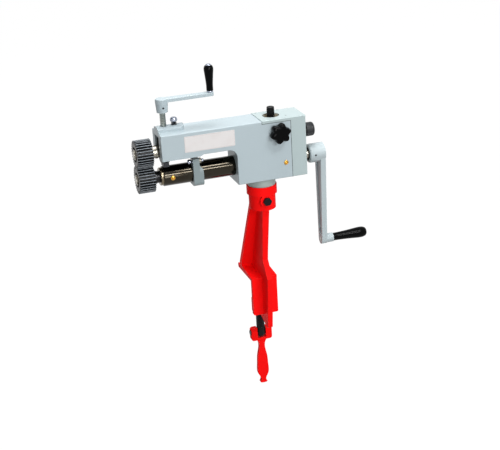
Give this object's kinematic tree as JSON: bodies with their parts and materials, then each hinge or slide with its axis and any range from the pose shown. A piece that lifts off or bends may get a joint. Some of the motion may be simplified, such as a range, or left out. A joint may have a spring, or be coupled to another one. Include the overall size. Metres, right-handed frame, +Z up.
{
  "type": "bench crimping machine",
  "caption": "Hand cranked bench machine with geared toothed rollers on an arm over a tube, a screw adjusted upper shaft, a rear crank and a clamp-on post.",
  "frame": {"origin": "where the axis of the clamp screw meets the flat underside of the jaw", "axes": "+Z up along the clamp screw, +X along the shafts from the rollers to the crank, +Y from the operator towards the bench"},
  "size_m": [0.4693, 0.155, 0.7203],
  "materials": {
    "grey_paint": "light bluish grey machine enamel, semi-gloss",
    "red_paint": "bright red enamel on cast iron, semi-gloss",
    "black_steel": "blackened steel",
    "black_oxide": "black oxide on machined teeth",
    "bright_steel": "turned bright steel",
    "polished_steel": "polished steel",
    "chrome": "chrome plated",
    "brass": "turned brass",
    "bronze": "bearing bronze",
    "bare_casting": "machined cast iron",
    "black_plastic": "glossy black moulding",
    "label_film": "bare satin label film"
  },
  "bodies": {
    "stand": {"stand_post": "red_paint"},
    "socket_lock": {"socket_lock_bolt": "black_steel"},
    "clamp_pad": {"pressure_pad": "bright_steel"},
    "clamp_screw_turning": {"clamp_screw": "black_steel"},
    "folding_handle": {"clamp_handle": "red_paint", "handle_pin": "black_steel"},
    "head": {"frame_casting": "grey_paint", "socket_spigot": "grey_paint", "spigot_bolts": "black_steel", "gear_cover": "grey_paint", "cover_screws": "black_steel", "lower_tube": "polished_steel", "lower_bushes": "bronze", "gearbox_oiler": "brass", "tube_oiler": "brass", "label_plate": "label_film", "index_plate": "brass", "screw_nut": "bronze", "lift_spring": "black_steel"},
    "star_lock": {"star_knob": "black_plastic", "star_knob_stud": "bright_steel"},
    "index_shifter": {"index_knob": "black_plastic", "index_spindle": "bright_steel"},
    "rear_adjuster": {"rear_knob": "black_plastic", "rear_thrust_screw": "bright_steel"},
    "lower_drive": {"lower_shaft": "bright_steel", "lower_roller": "black_oxide", "lower_gear": "bare_casting", "lower_roller_nut": "bright_steel", "lower_shaft_keys": "bright_steel", "lower_collar": "black_oxide", "thrust_ring": "polished_steel", "crank_arm": "grey_paint", "crank_set_screw": "black_steel", "grip_spindle": "bright_steel"},
    "main_grip": {"crank_grip": "black_plastic"},
    "upper_carrier": {"front_bearing_block": "bare_casting", "upper_bushes": "bronze", "lift_bolt": "chrome", "rear_pivot_ball": "bronze"},
    "upper_drive": {"upper_shaft": "bright_steel", "upper_roller": "black_oxide", "upper_gear": "bare_casting", "upper_roller_nut": "bright_steel", "upper_shaft_keys": "bright_steel", "upper_collar": "bright_steel"},
    "screw_pad": {"screw_thrust_pad": "bright_steel"},
    "adjusting_crank": {"adjusting_screw": "polished_steel", "top_crank_arm": "grey_paint", "top_crank_set_screw": "black_steel", "top_grip_spindle": "chrome"},
    "top_grip_turning": {"top_grip": "black_plastic"},
    "sheet_stop_slide": {"sheet_stop": "grey_paint", "stop_set_screw": "black_steel", "stop_nut": "bright_steel"},
    "stop_screw_turning": {"stop_screw": "chrome"}
  },
  "joints": [
    {"name": "head_swivel", "type": "hinge", "parent": "stand", "child": "head", "pos_m": [0, -0.057, 0.212], "axis": [0, 0, 1], "continuous": true},
    {"name": "lock_bolt_turn", "type": "hinge", "parent": "stand", "child": "socket_lock", "pos_m": [0, -0.057, 0.185], "axis": [0, -1, 0], "range_deg": [0, 180]},
    {"name": "clamp_pad_travel", "type": "slide", "parent": "stand", "child": "clamp_pad", "axis": [0, 0, 1], "range_m": [-0.029, 0.0178]},
    {"name": "clamp_screw_turn", "type": "hinge", "parent": "clamp_pad", "child": "clamp_screw_turning", "pos_m": [0, 0, -0.1], "axis": [0, 0, 1], "range_deg": [-4140, 2520]},
    {"name": "handle_fold", "type": "hinge", "parent": "clamp_screw_turning", "child": "folding_handle", "pos_m": [0, 0, -0.135], "axis": [1, 0, 0], "range_deg": [-90, 90]},
    {"name": "star_knob_turn", "type": "hinge", "parent": "head", "child": "star_lock", "pos_m": [0.0295, -0.057, 0.322], "axis": [0, -1, 0], "range_deg": [0, 360]},
    {"name": "index_knob_turn", "type": "hinge", "parent": "head", "child": "index_shifter", "pos_m": [0.026, -0.057, 0.35], "axis": [0, 0, 1], "continuous": true},
    {"name": "rear_knob_turn", "type": "hinge", "parent": "head", "child": "rear_adjuster", "pos_m": [0.1, -0.057, 0.309], "axis": [1, 0, 0], "range_deg": [-180, 180]},
    {"name": "main_crank_turn", "type": "hinge", "parent": "head", "child": "lower_drive", "pos_m": [0, -0.057, 0.259], "axis": [1, 0, 0], "continuous": true},
    {"name": "main_grip_spin", "type": "hinge", "parent": "lower_drive", "child": "main_grip", "pos_m": [0.18, -0.057, 0.0735], "axis": [1, 0, 0], "continuous": true},
    {"name": "screw_rise", "type": "slide", "parent": "head", "child": "screw_pad", "axis": [0, 0, 1], "range_m": [0, 0.00801], "deforming": ["lift_spring"]},
    {"name": "adjusting_crank_turn", "type": "hinge", "parent": "screw_pad", "child": "adjusting_crank", "pos_m": [-0.187, -0.057, 0.37], "axis": [0, 0, 1], "range_deg": [0, 960]},
    {"name": "top_grip_spin", "type": "hinge", "parent": "adjusting_crank", "child": "top_grip_turning", "pos_m": [-0.092, -0.057, 0.43], "axis": [0, 0, 1], "continuous": true},
    {"name": "upper_carrier_tilt", "type": "hinge", "parent": "head", "child": "upper_carrier", "pos_m": [0.079, -0.057, 0.309], "axis": [0, 1, 0], "range_deg": [0, 1.73]},
    {"name": "upper_shaft_turn", "type": "hinge", "parent": "upper_carrier", "child": "upper_drive", "pos_m": [0, -0.057, 0.309], "axis": [1, 0, 0], "continuous": true},
    {"name": "sheet_stop_travel", "type": "slide", "parent": "head", "child": "sheet_stop_slide", "axis": [1, 0, 0], "range_m": [-0.03, 0.05]},
    {"name": "stop_screw_turn", "type": "hinge", "parent": "sheet_stop_slide", "child": "stop_screw_turning", "pos_m": [-0.14, -0.072, 0.284], "axis": [1, 0, 0], "range_deg": [-360, 360]}
  ],
  "couplings": [
    {"joint": "upper_shaft_turn", "follows": "main_crank_turn", "ratio": -1},
    {"joint": "screw_rise", "follows": "adjusting_crank_turn", "m_per_rad": 0.00047746},
    {"joint": "upper_carrier_tilt", "follows": "adjusting_crank_turn", "ratio": 0.00025588},
    {"joint": "clamp_pad_travel", "follows": "clamp_screw_turn", "m_per_rad": 0.00039789}
  ]
}
